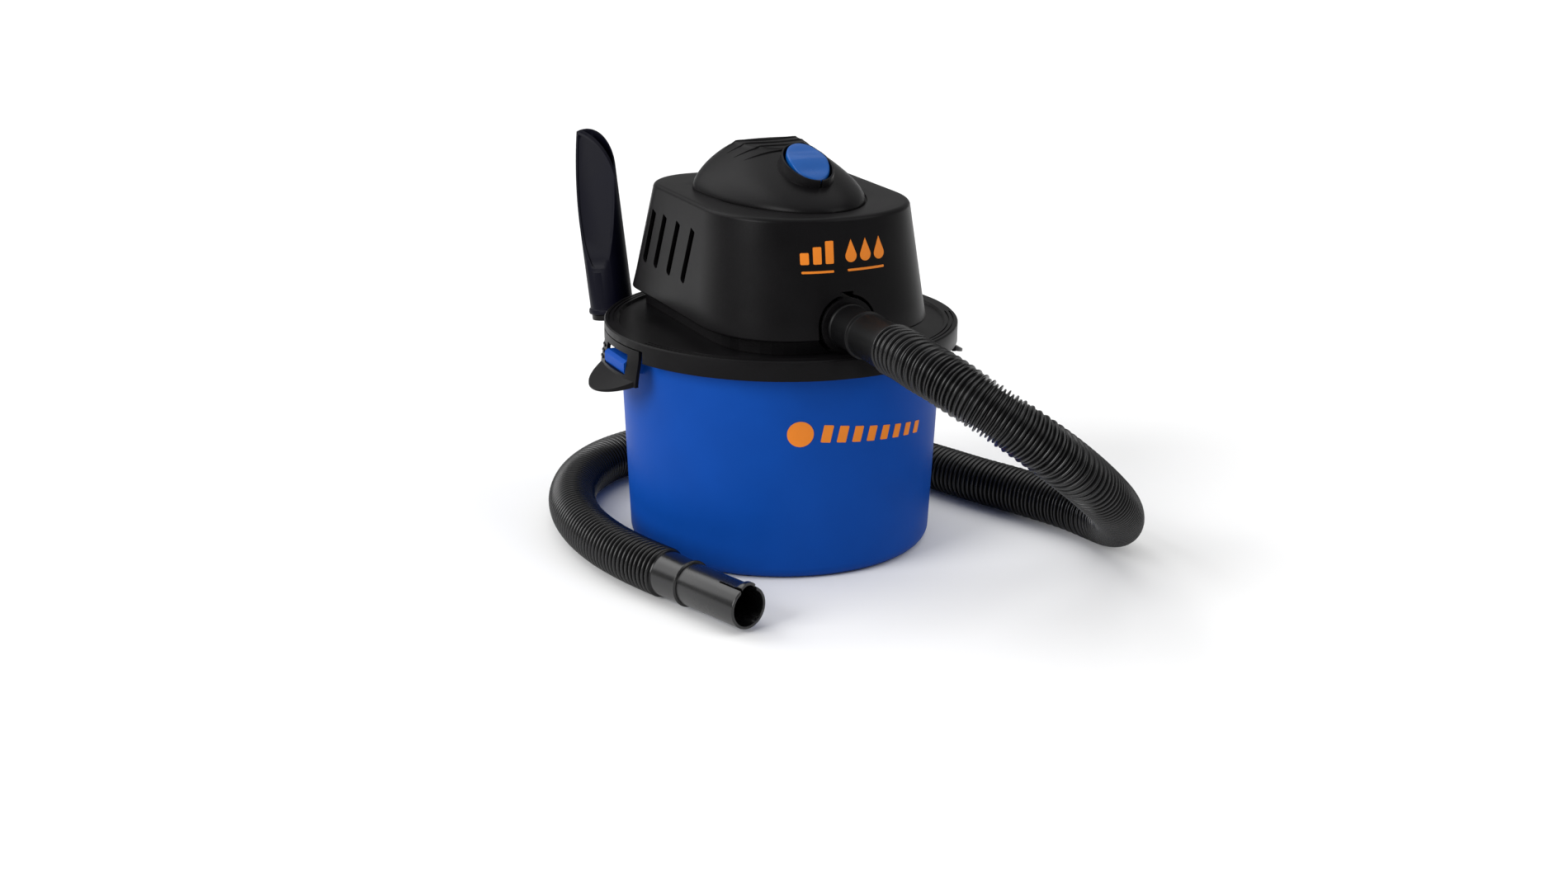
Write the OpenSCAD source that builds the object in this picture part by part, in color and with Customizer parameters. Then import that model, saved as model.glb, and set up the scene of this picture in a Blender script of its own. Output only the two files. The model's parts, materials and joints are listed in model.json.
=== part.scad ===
// Compact wet and dry shop vacuum: blue collecting tank, black lid with the motor head on it,
// side latches, corrugated hose, crevice tool on its post, and the motor, fan, float and filter inside.
// Frame: +Z up, origin on the floor at the tank's centre, hose port towards -Y, latches at -X and +X.

/* [Tank] */
// Outer radius of the tank where its wall meets the floor fillet
tank_foot_r = 118; // [112:0.5:122]
// Outer radius of the tank under its rim
tank_top_r = 125; // [123:0.5:126]
// Height of the tank's rim, where the lid's gasket seals
tank_h = 168; // [160:1:200]
// Wall thickness of the tank
tank_wall = 2.5; // [2:0.1:3.5]

/* [Lid] */
// Outer radius of the lid and its skirt
lid_r = 137; // [136:0.5:142]
// How far the skirt hangs below the lid's top
skirt_h = 15; // [12:0.5:18]
// Width of the raised flat band around the lid
band_w = 10; // [8:0.5:14]

/* [Head] */
// Half-width of the head cover at its bottom edge
head_foot_w = 86; // [80:0.5:88]
// Half-width of the head cover at its deck
head_deck_w = 79; // [74:0.5:80]
// How much further out the foot of the head stands on the right
head_skew = 7; // [0:0.5:8]
// Height of the bottom edge above the floor
head_z = 184; // [182:0.5:188]
// Height of the flat deck above the floor
deck_z = 273; // [268:0.5:280]
// Height of the motor cap above the deck
cap_h = 35.5; // [32:0.5:40]
// Wall thickness of the head's shells
shell = 2.5; // [2:0.1:3]

/* [Hose] */
// Outer radius of the corrugated hose
hose_r = 19; // [17:0.5:21]
// Outer radius of the hose-end fitting that tools push onto
fitting_r = 15.875; // [15.5:0.005:16]
// Radius of the port's bore in the head
port_bore_r = 16.55; // [16.5:0.01:17]

/* [Crevice tool] */
// Length of the crevice tool
tool_len = 147; // [120:1:200]
// Outer radius of the crevice tool's round socket
tool_r = 17.4; // [17.2:0.1:18]

/* [Hidden] */

$fn = 64;
eps = 0.01;
black = "#1b1b1c";
blue = "#1546b8";

// Lid
lid_top = tank_h + 7;
plate_top = lid_top - 2;
plate_bottom = tank_h + 2.4;
skirt_in = lid_r - 3;
skirt_z = lid_top - skirt_h;
intake_r = 17;
duct_y = -88;
duct_r = 18;

// Latch tabs, seen as sectors of the lid's skirt
tab_half = 16.1;
slit_half = 16.7;
tab_low = 141;
tab_high = 168.6;
window_low = 146;
window_high = 161.5;
lug_half = 20;
ear_r = 37;
ear_x = 120;
ear_slope = 23;

// Head cover plan: front bulge, rear flat with round corners
foot_n = 2.5;
deck_n = 2.15;
front_start = -33;
foot_front = -118;
deck_front = -108;
foot_rear = 112;
deck_rear = 98;
foot_corner = 20;
deck_corner = 40;
deck_skew = 3;
deck_fillet = 3;
plinth_inset = 8;
plinth_skew = 2;
plinth_top = 190;
boss_r = 5;
boss_top = 208;
post_h = 13;
gland_z = 204;
cap_steps = [0, 0.1, 0.2, 0.32, 0.44, 0.55, 0.65, 0.74, 0.82, 0.89, 0.95, 1];
cap_y = 25;
cap_lap = 12;
cap_screw_x = 54.5;
cap_screw_y = 20;
vent_y = [68, 46, 19.5, -9];
vent_len = 45;
vent_w = 8;
vent_z = 231;

// Motor axis and levels
axis_y = 5;
housing_z = 178;
housing_h = 28;
housing_r = 62;
stator_z = 222;
stator_h = 30;
shaft_r = 4;
shaft_gap = 0.05;

// Port and hose
port_z = 194;
port_y = -117;
spigot_gap = 0.05;
cuff_y = -146;
hose_y = -190;
cuff_bore_r = 13.5;

// Switch on the motor cap's front slope
switch_y = -45;
switch_z = 302.5;
switch_tilt = 22.6;
switch_w = 16.5;
switch_l = 24.2;
boss_wall = 2.4;
rocker_rest = 6;

// Filter under the lid
cage_r = 44;
cage_z = 96;
float_r = 21;
float_z = cage_z + 4.3 + float_r;

// Crevice tool on its post, outside the lid at the rear left
post_angle = 125;
post_dist = 158;
post_lean = 8;
post_z = 158;
post_r = 15.6;
socket_r = 16;
flat_z = 36;
tip_z = 102;

// Route of the hose: out of the port, down to the floor on the right, round behind the tank,
// and forwards on the left
floor_z = hose_r + 0.3;
route = [[0, -190, 194], [0, -208, 194], [1, -228, 192], [6, -250, 188], [18, -274, 178],
    [40, -292, 161], [68, -298, 140], [98, -289, 117], [128, -268, 94], [156, -240, 73],
    [181, -210, 53], [201, -180, 35], [213, -150, 23.5], [216, -124, floor_z], [211, -96, floor_z],
    [202, -68, floor_z], [190, -36, floor_z], [177, -4, floor_z], [164, 34, floor_z],
    [148, 76, floor_z], [124, 116, floor_z], [90, 150, floor_z], [48, 174, floor_z],
    [2, 186, floor_z], [-44, 183, floor_z], [-84, 165, floor_z], [-116, 135, floor_z],
    [-139, 97, floor_z], [-153, 56, floor_z], [-159, 14, floor_z], [-158, -28, floor_z],
    [-152, -64, floor_z], [-145, -90, floor_z], [-139.5, -108, floor_z]];
end_angle = -73;
end_at = route[len(route) - 1];
end_step = [cos(end_angle), sin(end_angle), 0];
hose_cuff_len = 28;
fitting_len = 62;

// ---- shared geometry ----

function arc(cx, cy, r, a0, a1, n) =
    [for (i = [0:n]) [cx + r * cos(a0 + (a1 - a0) * i / n), cy + r * sin(a0 + (a1 - a0) * i / n)]];
function mix(a, b, t) = a + (b - a) * t;
function unit(v) = v / norm(v);
function power(c, n) = sign(c) * pow(abs(c), 2 / n);

// Plan of the head: front half a superellipse, rear half square with round corners, as [x, y];
// the right half is wider by skew
function plan(w, skew, front, rear, r, n) = concat(
    [for (i = [0:24]) let (a = 180 + 180 * i / 24)
        [(cos(a) > 0 ? w + skew : w) * power(cos(a), n),
            front_start + (front_start - front) * power(sin(a), n)]],
    arc(w + skew - r, rear - r, r, 0, 90, 6),
    arc(-w + r, rear - r, r, 90, 180, 6));

// The head's plan at height z, moved in by inset
function head_plan(z, inset) = let (t = (z - head_z) / (deck_z - head_z))
    plan(mix(head_foot_w, head_deck_w, t) - inset, mix(head_skew, deck_skew, t),
        mix(foot_front, deck_front, t) + inset, mix(foot_rear, deck_rear, t) - inset,
        mix(foot_corner, deck_corner, t) - inset / 2, mix(foot_n, deck_n, t));

// Plan of the raised wall on the lid, which keeps clear of the lid's band
function plinth_plan(inset) = plan(head_foot_w - inset, plinth_skew, foot_front + inset, foot_rear - inset,
    foot_corner, foot_n);

// Egg-shaped plan of the motor cap at height share h, moved in by inset
function cap_plan(h, inset) = let (
    w = 26 + 35 * pow(1 - pow(h, 1.67), 1.18) - inset,
    rear = 6 + 39 * pow(1 - pow(h, 3), 0.85) - min(inset, 4 + 20 * (1 - h)),
    front = 40 + 74 * pow(1 - pow(h, 1.68), 1.27) - inset)
    [for (i = [0:47]) let (a = 7.5 * i)
        [w * cos(a), cap_y + 5 * h + (sin(a) > 0 ? rear : front) * sin(a)]];

// Oval of the switch in its own plane, grown by d
function switch_oval(d) = [for (i = [0:47]) [(switch_w + d) * cos(7.5 * i), (switch_l + d) * sin(7.5 * i)]];

function at_height(ring, z) = [for (p = ring) [p[0], p[1], z]];

// Closed solid through rings of equal count, listed from the bottom up
module loft(rings) {
    n = len(rings[0]);
    m = len(rings);
    polyhedron(
        points = [for (ring = rings) each ring],
        faces = concat(
            [[for (i = [0:n - 1]) i]],
            [[for (i = [n - 1:-1:0]) (m - 1) * n + i]],
            [for (k = [0:m - 2], i = [0:n - 1]) [k * n + i, (k + 1) * n + i, (k + 1) * n + (i + 1) % n]],
            [for (k = [0:m - 2], i = [0:n - 1]) [k * n + i, (k + 1) * n + (i + 1) % n, k * n + (i + 1) % n]]),
        convexity = 8);
}

// Round tube of radius r swept along points, with square ends
module sweep(points, r, sides) {
    last = len(points) - 1;
    rings = [for (i = [0:last]) let (
        t = unit(points[min(i + 1, last)] - points[max(i - 1, 0)]),
        side = unit(cross(t, [0, 0, 1])),
        up = cross(side, t))
        [for (k = [0:sides - 1]) let (a = 360 * k / sides) points[i] + r * (cos(a) * side + sin(a) * up)]];
    loft([for (i = [last:-1:0]) rings[i]]);
}

module ring(r_out, r_in, z0, z1) {
    translate([0, 0, z0]) difference() {
        cylinder(r = r_out, h = z1 - z0);
        translate([0, 0, -1]) cylinder(r = r_in, h = z1 - z0 + 2);
    }
}

// Part of a ring around the Z axis, centred on the angle mid
module sector(r_out, r_in, z0, z1, half, mid) {
    rotate([0, 0, mid - half]) rotate_extrude(angle = 2 * half, $fn = 128)
        translate([r_in, z0]) square([r_out - r_in, z1 - z0]);
}

module on_axis(z) { translate([0, axis_y, z]) children(); }

module along_front(y) { translate([0, y, port_z]) rotate([90, 0, 0]) children(); }

module on_switch(depth) {
    translate([0, switch_y, switch_z]) rotate([switch_tilt, 0, 0]) translate([0, 0, -depth]) children();
}

module on_post(s) {
    rotate([0, 0, post_angle]) translate([post_dist, 0, post_z]) rotate([0, post_lean, 0])
        translate([0, 0, s]) children();
}

// Along the free end of the hose, with local Z pointing out of the end
module on_end(s) {
    translate(end_at + s * end_step) rotate([0, 90, end_angle]) children();
}

module screw(r, len, head_r, head_h) {
    cylinder(r = r, h = len, $fn = 24);
    difference() {
        translate([0, 0, -head_h]) cylinder(r = head_r, h = head_h, $fn = 24);
        for (a = [0, 90]) rotate([0, 0, a]) translate([-head_r * 0.6, -0.5, -head_h - eps])
            cube([head_r * 1.2, 1, head_h * 0.5]);
    }
}

// ---- tank ----

module tank() color(blue) {
    fillet = 10;
    inner = fillet - tank_wall;
    difference() {
        rotate_extrude($fn = 128) polygon(concat(
            [[0, 0]],
            arc(tank_foot_r - fillet, fillet, fillet, -90, 0, 8),
            [[tank_top_r, tank_h - 8], [tank_top_r + 6, tank_h - 5.5], [tank_top_r + 6.5, tank_h - 4.5],
                [tank_top_r + 6.5, tank_h], [tank_top_r - tank_wall, tank_h],
                [tank_top_r - tank_wall, tank_h - 8]],
            arc(tank_foot_r - fillet, fillet + tank_wall, inner, 0, -90, 8),
            [[0, fillet + tank_wall - inner]]));
    }
    for (side = [0, 180]) rotate([0, 0, side]) latch_lug();
}

// The catch that a latch tab's window closes over
module latch_lug() {
    translate([0, lug_half, 0]) rotate([90, 0, 0]) linear_extrude(2 * lug_half)
        polygon([[tank_top_r - 2, 147], [tank_top_r + 12, 147], [lid_r + 1.5, 149.5], [lid_r + 1.5, 158],
            [lid_r - 1, 160], [tank_top_r - 2, 160]]);
}

// ---- lid ----

module lid() color(black) {
    difference() {
        union() {
            rotate_extrude($fn = 128) lid_section();
            for (mid = [0, 180]) sector(skirt_in, lid_r - band_w + 2, lid_top - 1.2, lid_top, tab_half, mid);
        }
        for (mid = [0, 180]) sector(lid_r + 4, skirt_in - 3, skirt_z - 5, tab_high + 0.6, slit_half, mid);
        on_axis(plate_bottom - 1) cylinder(r = intake_r, h = 10);
        translate([0, duct_y, plate_bottom - 1]) cylinder(r = duct_r + 2.2, h = 10);
        at_screws(plate_bottom - 1) cylinder(r = 1.8, h = 10, $fn = 24);
        on_axis(plate_bottom - 1) for (a = [45:90:315]) rotate([0, 0, a]) translate([51, 0, 0])
            cylinder(r = 1.8, h = 3.2, $fn = 24);
    }
    rotate([0, 0, 112]) translate([lid_r - 5, -5, lid_top - 1]) cube([2.2, 10, 9]);
}

// Raised wall with screw posts under the head, moulded in one with the lid
module lid_plinth() color(black) difference() {
    union() {
        difference() {
            translate([0, 0, plate_top]) linear_extrude(plinth_top - plate_top)
                polygon(plinth_plan(plinth_inset));
            translate([0, 0, plate_top - 1]) linear_extrude(20)
                polygon(plinth_plan(plinth_inset + 2.5));
        }
        at_screws(plate_top) cylinder(r = boss_r, h = post_h);
        for (side = [-1, 1]) {
            boss_rib(side, 82.5, head_foot_w - plinth_inset - 1, plinth_skew, plate_top, plate_top + post_h);
            boss_rib(side, -63.5, head_foot_w - plinth_inset - 4, plinth_skew, plate_top, plate_top + post_h);
        }
    }
    along_front(-90) cylinder(r = 23, h = 40);
    at_screws(plate_top - 1) cylinder(r = 1.8, h = 30, $fn = 24);
}

module at_screws(z) {
    for (p = [[64, 84], [-64, 84], [62, -62], [-62, -62]]) translate([p[0], p[1], z]) children();
}

module lid_section() {
    polygon([[0, plate_bottom], [skirt_in - 2, plate_bottom], [skirt_in, plate_bottom - 2],
        [skirt_in, skirt_z], [lid_r, skirt_z], [lid_r, lid_top - 1], [lid_r - 1, lid_top],
        [lid_r - 3.2, lid_top], [lid_r - 3.2, lid_top - 1.1], [lid_r - 4.4, lid_top - 1.1],
        [lid_r - 4.4, lid_top], [lid_r - 6.6, lid_top], [lid_r - 6.6, lid_top - 1.1],
        [lid_r - 7.8, lid_top - 1.1], [lid_r - 7.8, lid_top], [lid_r - band_w, lid_top],
        [lid_r - band_w - 1.5, plate_top], [0, plate_top]]);
}

// Bracket on the outside of the skirt with the post that holds the crevice tool
module tool_holder() color(black) {
    rotate([0, 0, post_angle]) {
        translate([lid_r + 0.02, -15, post_z - 6]) cube([1.6, 30, lid_top - post_z + 4]);
        translate([lid_r + 0.02, -13, post_z - 6]) cube([post_dist - lid_r, 26, 4]);
    }
    on_post(-5) cylinder(r = 17, h = 4.5);
    on_post(-1) difference() {
        cylinder(r = post_r, h = 34);
        translate([0, 0, 3]) cylinder(r = post_r - 2, h = 40);
    }
}

module lid_gasket() color("#2c2c2c")
    ring(tank_top_r + 5.5, tank_top_r - tank_wall + 0.5, tank_h, plate_bottom);

// Springy tab in the skirt with a window for the lug and a lip to pull
module latch_tab(mid) {
    difference() {
        union() {
            sector(lid_r, skirt_in + 0.2, tab_low, tab_high, tab_half, mid);
            rotate([0, 0, mid]) translate([skirt_in, 0, tab_low]) rotate([0, ear_slope, 0])
                translate([-skirt_in, 0, 0]) difference() {
                    translate([ear_x, 0, 0]) cylinder(r = ear_r, h = 2.6);
                    translate([0, 0, -1]) cylinder(r = skirt_in + 0.5, h = 6, $fn = 128);
                }
        }
        rotate([0, 0, mid]) translate([skirt_in - 10, -lug_half - 0.8, window_low])
            cube([30, 2 * lug_half + 1.6, window_high - window_low]);
    }
    // Grip ribs beside the window
    for (k = [0:2]) sector(lid_r + 0.8, lid_r - 0.5, 148 + 4.5 * k, 150 + 4.5 * k, 1.8, mid + 12.6);
}

module latch_left() color(black) latch_tab(180);
module latch_right() color(black) mirror([0, 1, 0]) latch_tab(0);

// ---- inlet ----

module inlet_port() color(black) {
    difference() {
        union() {
            along_front(-68) cylinder(r = 20, h = -68 - port_y);
            along_front(port_y + 3) cylinder(r = 20.9, h = 3);
            translate([0, duct_y, 148]) cylinder(r = duct_r + 2, h = port_z - 148);
            translate([0, duct_y, plate_top]) cylinder(r = duct_r + 5, h = 2.5);
        }
        along_front(-72) cylinder(r = port_bore_r, h = 60);
        translate([0, duct_y, 140]) cylinder(r = duct_r - 0.5, h = port_z - 140);
    }
}

// Curved baffle with a floor that turns the incoming air towards the tank's wall
module inlet_deflector() color(black) translate([0, duct_y, 122]) difference() {
    cylinder(r = duct_r + 4, h = 44);
    translate([0, 0, 2.4]) cylinder(r = duct_r + 2.15, h = 44);
    translate([-30, -30, -1]) cube([60, 26, 50]);
}

// ---- head shells ----

function head_rings(inset, top) = concat(
    [for (z = [head_z, mix(head_z, top - deck_fillet, 0.5)]) at_height(head_plan(z, inset), z)],
    [for (i = [0:4]) let (a = 22.5 * i, z = top - deck_fillet + deck_fillet * sin(a))
        at_height(head_plan(z, inset + deck_fillet * (1 - cos(a))), z)]);

module head_cover() color(black) difference() {
    union() {
        difference() {
            loft(head_rings(0, deck_z));
            translate([0, 0, -0.05]) loft(head_rings(shell, deck_z - shell));
        }
        at_screws(plinth_top + 0.5) cylinder(r = boss_r, h = boss_top - plinth_top - 0.5, $fn = 12);
        for (side = [-1, 1]) {
            boss_rib(side, 82.5, head_foot_w - 3, head_skew - 1, plinth_top + 0.5, boss_top);
            boss_rib(side, -63.5, head_foot_w - 6, head_skew - 1, plinth_top + 0.5, boss_top);
        }
    }
    at_screws(plinth_top - 1) cylinder(r = 1.8, h = 10, $fn = 12);
    translate([0, 0, deck_z - 12]) linear_extrude(20) polygon(cap_plan(0, cap_lap));
    at_cap_screws(deck_z - 8) cylinder(r = 1.7, h = 20, $fn = 12);
    for (side = [-1, 1], y = vent_y) translate([side * head_deck_w, y, vent_z]) vent_slot();
    port_arch();
    translate([0, foot_rear + 8, gland_z]) rotate([90, 0, 0]) cylinder(r = 7.2, h = 40, $fn = 32);
}

// Rib between a screw boss and the side wall
module boss_rib(side, y, reach, skew, z0, z1) {
    far = side > 0 ? reach + skew : reach;
    near = side > 0 ? 64 : -far;
    translate([near, y, z0]) cube([far - 64, 3, z1 - z0]);
}

module at_cap_screws(z) { for (x = [-cap_screw_x, cap_screw_x]) translate([x, cap_screw_y, z]) children(); }

// Slot that leans with the head's rear edge
module vent_slot() rotate([18, 0, 0]) {
    translate([-18, -vent_w / 2, -vent_len / 2 + vent_w / 2]) cube([36, vent_w, vent_len - vent_w / 2]);
    translate([0, 0, -vent_len / 2 + vent_w / 2]) rotate([0, 90, 0])
        cylinder(r = vent_w / 2, h = 36, center = true, $fn = 24);
}

module port_arch() {
    along_front(-100) cylinder(r = 23, h = 40, $fn = 48);
    translate([-23, -140, head_z - 5]) cube([46, 40, port_z - head_z + 5]);
    translate([-5, -140, port_z + 21]) cube([10, 40, 4]);
}

module motor_cap() color(black) difference() {
    union() {
        difference() {
            loft([for (h = cap_steps) at_height(cap_plan(h, 0), deck_z + h * cap_h)]);
            translate([0, 0, -0.05]) loft([for (h = cap_steps)
                at_height(cap_plan(h, shell), deck_z + h * (cap_h - shell))]);
        }
        at_cap_screws(deck_z) cylinder(r = 3.4, h = 7, $fn = 12);
    }
    on_switch(17) linear_extrude(50) polygon(switch_oval(boss_wall + 0.4));
    at_cap_screws(deck_z - 1) cylinder(r = 1.7, h = 6, $fn = 12);
}

// ---- switch ----

// Oval cup that stands proud of the cap, with a slit at its lower edge
module switch_housing() color("#161616") on_switch(14) difference() {
    linear_extrude(14.6) polygon(switch_oval(boss_wall));
    translate([0, 0, 2]) linear_extrude(20) polygon(switch_oval(-1));
    translate([0, 0, 6]) linear_extrude(20) polygon(switch_oval(0.4));
    translate([-0.6, -switch_l - boss_wall - 1, 9]) cube([1.2, 4, 10]);
}

// Oval rocker with a crest across it, resting tipped towards "off"
module switch_rocker() color("#1c63d2") on_switch(0) rotate([rocker_rest, 0, 0]) {
    difference() {
        translate([0, 0, -3.5]) linear_extrude(10) polygon(switch_oval(-0.6));
        for (s = [0, 180]) rotate([0, 0, s]) rotate([-9, 0, 0]) translate([-30, 0.8, 4.4])
            cube([60, 40, 20]);
    }
    translate([-8, -3, -11.5]) cube([16, 6, 9]);
}

module switch_terminals() color("#c9a24a")
    on_switch(22) for (x = [-9, 0, 9]) translate([x - 2.4, -0.4, 0]) cube([4.8, 0.8, 8]);

// From the switch's terminals round the upper bracket to the brush holders
module lead_wires() color("#b03024") {
    down = [0, sin(switch_tilt), -cos(switch_tilt)];
    for (s = [-1, 1]) {
        start = [9 * s, switch_y, switch_z] + 22.1 * down;
        sweep([start, start + 5 * down, [13 * s, -36, 272], [25 * s, -38, 268], [38 * s, -30, 265],
            [44 * s, -14, 263], [44 * s, -2, 262.5], [40 * s, axis_y, 262.5],
            [36.1 * s, axis_y, 262.5]], 1.2, 8);
    }
}

module cord_gland() color("#202020") difference() {
    union() {
        translate([0, 112, gland_z]) rotate([90, 0, 0]) cylinder(r = 7, h = 22);
        translate([0, 115.3, gland_z]) rotate([90, 0, 0]) cylinder(r = 10, h = 5);
    }
    translate([0, 120, gland_z]) rotate([90, 0, 0]) cylinder(r = 3.6, h = 40, $fn = 32);
}

// ---- motor and fan ----

module motor_seal_lower() color("#303030") on_axis(0) ring(50, 38, plate_top, housing_z);

module fan_housing() color("#b9bcc0") on_axis(0) {
    difference() {
        translate([0, 0, housing_z]) cylinder(r = housing_r, h = housing_h);
        translate([0, 0, housing_z + 1.5]) cylinder(r = housing_r - 1.5, h = housing_h - 3);
        translate([0, 0, housing_z - 1]) cylinder(r = 22, h = 4);
        translate([0, 0, housing_z + housing_h - 3]) cylinder(r = 14, h = 5);
        for (a = [0:45:315]) rotate([0, 0, a]) translate([housing_r - 5, 0, housing_z + housing_h - 9])
            rotate([0, 90, 0]) cylinder(r = 4, h = 10, $fn = 24);
    }
}

module impeller() color("#d0d3d6") on_axis(0) {
    difference() {
        union() {
            translate([0, 0, housing_z + 20]) cylinder(r = 55, h = 1.5);
            ring(55, 24, housing_z + 5, housing_z + 6.5);
            for (a = [0:40:320]) rotate([0, 0, a]) translate([0, 0, housing_z + 6.5 - eps])
                linear_extrude(13.5 + 2 * eps) impeller_vane();
            translate([0, 0, housing_z + 16]) cylinder(r = 10, h = 6);
        }
        translate([0, 0, housing_z]) cylinder(r = shaft_r, h = 40);
    }
}

// Backward-curved vane as a thin bent strip
module impeller_vane() {
    out = [for (i = [0:6]) let (r = mix(25, 54, i / 6), a = -34 * i / 6) [r * cos(a), r * sin(a)]];
    back = [for (i = [6:-1:0]) let (r = mix(25, 54, i / 6), a = -34 * i / 6 + 2) [r * cos(a), r * sin(a)]];
    polygon(concat(out, back));
}

module motor_bracket_lower() color("#9a9da1") on_axis(0) {
    ring(46, 12, housing_z + housing_h, housing_z + housing_h + 3);
    ring(16, 11, housing_z + housing_h + 3 - eps, housing_z + housing_h + 10);
    ring(46, 43, housing_z + housing_h + 3 - eps, stator_z);
}

module motor_bracket_upper() color("#9a9da1") on_axis(0) {
    top = stator_z + stator_h;
    for (a = [45, 135]) rotate([0, 0, a]) difference() {
        translate([-43, -6, top + 15]) cube([86, 12, 3]);
        translate([0, 0, top]) cylinder(r = 10.5, h = 30);
    }
    for (a = [45:90:315]) rotate([0, 0, a]) translate([39, -6, top]) cube([4, 12, 15 + eps]);
    ring(13, 9.5, top + 15, top + 22);
}

module stator_stack() color("#6f7276") on_axis(stator_z) difference() {
    intersection() {
        cylinder(r = 43, h = stator_h);
        translate([-38, -50, -1]) cube([76, 100, stator_h + 2]);
    }
    translate([0, 0, -1]) cylinder(r = 21.6, h = stator_h + 2);
    for (s = [-1, 1]) translate([s * 27 - 4, -24, -1]) cube([8, 48, stator_h + 2]);
}

module field_coils() color("#a5572a") on_axis(stator_z - 6) for (s = [-1, 1])
    translate([s * 27, 0, 0]) difference() {
        translate([-3.6, -23.5, 0]) cube([7.2, 47, stator_h + 10]);
        translate([-5, -17, 6 + eps]) cube([10, 34, stator_h - 2 * eps]);
    }

module armature_core() color("#7b7e82") on_axis(stator_z) difference() {
    cylinder(r = 21, h = stator_h);
    translate([0, 0, -1]) cylinder(r = shaft_r, h = stator_h + 2);
    for (a = [0:30:330]) rotate([0, 0, a]) translate([18, -1, -1]) cube([5, 2, stator_h + 2]);
}

module armature_windings() color("#b4622f") on_axis(0) {
    ring(17.5, shaft_r, stator_z - 6, stator_z);
    ring(17.5, shaft_r, stator_z + stator_h, stator_z + stator_h + 5);
}

module commutator() color("#b87333") on_axis(stator_z + stator_h + 5) difference() {
    cylinder(r = 11, h = 9);
    translate([0, 0, -1]) cylinder(r = shaft_r, h = 12);
    for (a = [0:30:330]) rotate([0, 0, a]) translate([10, -0.3, -1]) cube([3, 0.6, 12]);
}

module motor_shaft() color("#c8cacc") on_axis(housing_z + 12) cylinder(r = shaft_r, h = 98);

module bearing(z, r) on_axis(0) ring(r, shaft_r + shaft_gap, z, z + 6);
module bearing_lower() color("#aeb2b6") bearing(housing_z + housing_h + 3.5, 11);
module bearing_upper() color("#aeb2b6") bearing(stator_z + stator_h + 15.5, 9.5);

module brush_holders() color("#b5934a") on_axis(stator_z + stator_h + 6) for (s = [0, 180])
    rotate([0, 0, s]) difference() {
        translate([14, -4.5, -0.5]) cube([22, 9, 9]);
        translate([10, -3, 1]) cube([22, 6, 6]);
    }

module carbon_brushes() color("#2b2b2d") on_axis(stator_z + stator_h + 7) for (s = [0, 180])
    rotate([0, 0, s]) translate([11.2, -2.9, 0.1]) cube([16, 5.8, 5.8]);

module cooling_fan() color("#3a3d42") on_axis(stator_z + stator_h + 26) {
    ring(12, shaft_r, -3, 6);
    for (a = [0:45:315]) rotate([0, 0, a]) translate([11, 0, 1]) rotate([24, 0, 0])
        translate([0, -5, -0.6]) cube([16, 10, 1.2]);
    ring(28, 26.5, -1, 4);
}

module motor_bolts() color("#a9acb0") on_axis(0) for (s = [-1, 1])
    translate([s * 40, 0, housing_z + housing_h + 3]) cylinder(r = 2, h = 14, $fn = 24);

// ---- fasteners ----

module head_screws() color("#9b9ea2") at_screws(plate_bottom) screw(1.7, 25, 3.6, 2);

module cap_screws() color("#9b9ea2") at_cap_screws(deck_z - shell - 0.06) screw(1.6, 7, 3.2, 2);

module cage_screws() color("#9b9ea2") on_axis(0)
    for (a = [45:90:315]) rotate([0, 0, a]) translate([51, 0, plate_bottom - 2.5]) screw(1.6, 4.5, 3.2, 1.8);

// ---- filter ----

module filter_cage() color("#26282b") on_axis(0) difference() {
    union() {
        ring(cage_r, cage_r - 2.2, cage_z, plate_bottom);
        ring(55, cage_r - 1, plate_bottom - 2.5, plate_bottom);
        translate([0, 0, cage_z]) cylinder(r = cage_r, h = 2.4);
        for (a = [0:90:270]) rotate([0, 0, a + 22.5]) translate([float_r + 0.8, -1.2, cage_z + 2])
            cube([cage_r - float_r - 2, 2.4, 62]);
        ring(float_r + 2.6, float_r + 0.8, cage_z + 2, cage_z + 12);
    }
    for (a = [0:30:330]) rotate([0, 0, a + 7.5]) translate([cage_r - 6, -5, cage_z + 14]) cube([10, 10, 44]);
    for (a = [0:60:300]) rotate([0, 0, a]) translate([32, 0, cage_z - 1]) cylinder(r = 5, h = 5, $fn = 32);
    for (a = [45:90:315]) rotate([0, 0, a]) translate([51, 0, 150]) cylinder(r = 1.8, h = 30, $fn = 24);
}

module float_ball() color("#d9d9d4") on_axis(float_z) sphere(r = float_r);

module cloth_filter() color("#3aa7e8") on_axis(0) difference() {
    translate([0, 0, cage_z - 2.6]) cylinder(r = cage_r + 2.4, h = 68);
    translate([0, 0, cage_z - 0.6]) cylinder(r = cage_r + 0.5, h = 80);
}

module retaining_band() color("#101010") on_axis(0)
    ring(cage_r + 4.4, cage_r + 2.4, cage_z + 56, cage_z + 62);

// ---- crevice tool ----

module crevice_tool() color(black) on_post(0) rotate([0, 0, 188]) difference() {
    union() {
        cylinder(r = tool_r, h = tool_len);
        cylinder(r = tool_r + 1.6, h = 4);
    }
    difference() {
        translate([0, 0, -1]) cylinder(r = socket_r, h = tool_len + 2);
        flat_cut(2.2);
    }
    flat_cut(0);
    difference() {
        translate([-25, -30, tip_z]) cube([60, 60, 80]);
        translate([-22, 0, tip_z]) rotate([90, 0, 0]) cylinder(r = 45, h = 80, center = true);
    }
}

// Everything beyond the sloping flat face, moved in by the wall
module flat_cut(wall) translate([-40, wall - tool_r, flat_z]) rotate([-13, 0, 0])
    translate([0, -60, -60]) cube([80, 60, 240]);

// ---- hose ----

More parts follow.
